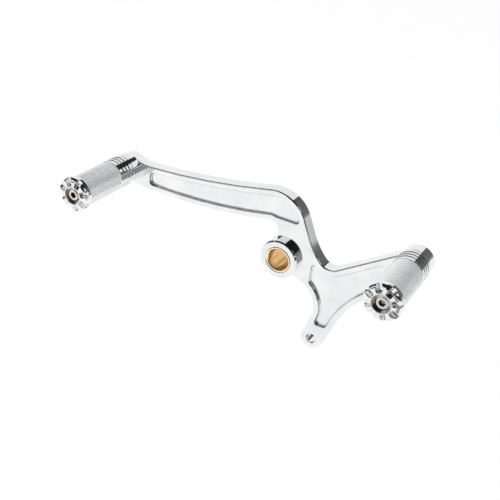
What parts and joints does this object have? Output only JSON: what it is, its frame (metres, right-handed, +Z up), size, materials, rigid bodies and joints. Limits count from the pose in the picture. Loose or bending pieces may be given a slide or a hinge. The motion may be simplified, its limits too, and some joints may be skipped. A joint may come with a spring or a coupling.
{
  "type": "heel toe shift lever",
  "caption": "Chromed billet foot lever with a bronze-bushed pivot boss, a shift-rod lug and a knurled, notch-capped peg at its toe and heel ends.",
  "frame": {"origin": "on the pivot axis, level with the lever's outboard face", "axes": "+X from the pivot towards the heel peg, +Y inboard along the pivot axis so the pegs point to -Y, +Z up with both peg axes at one height"},
  "size_m": [0.26, 0.0811, 0.1174],
  "materials": {
    "polished_chrome": "mirror plated",
    "knurled_chrome": "plated over a fine diamond knurl",
    "bush_bronze": "bright turned bronze",
    "screw_steel": "plain bright steel"
  },
  "bodies": {
    "root": {"lever": "polished_chrome", "pivot_bush": "bush_bronze", "toe_peg": "knurled_chrome", "heel_peg": "knurled_chrome", "toe_peg_cap": "polished_chrome", "heel_peg_cap": "polished_chrome", "toe_peg_screw": "screw_steel", "heel_peg_screw": "screw_steel"}
  },
  "joints": []
}
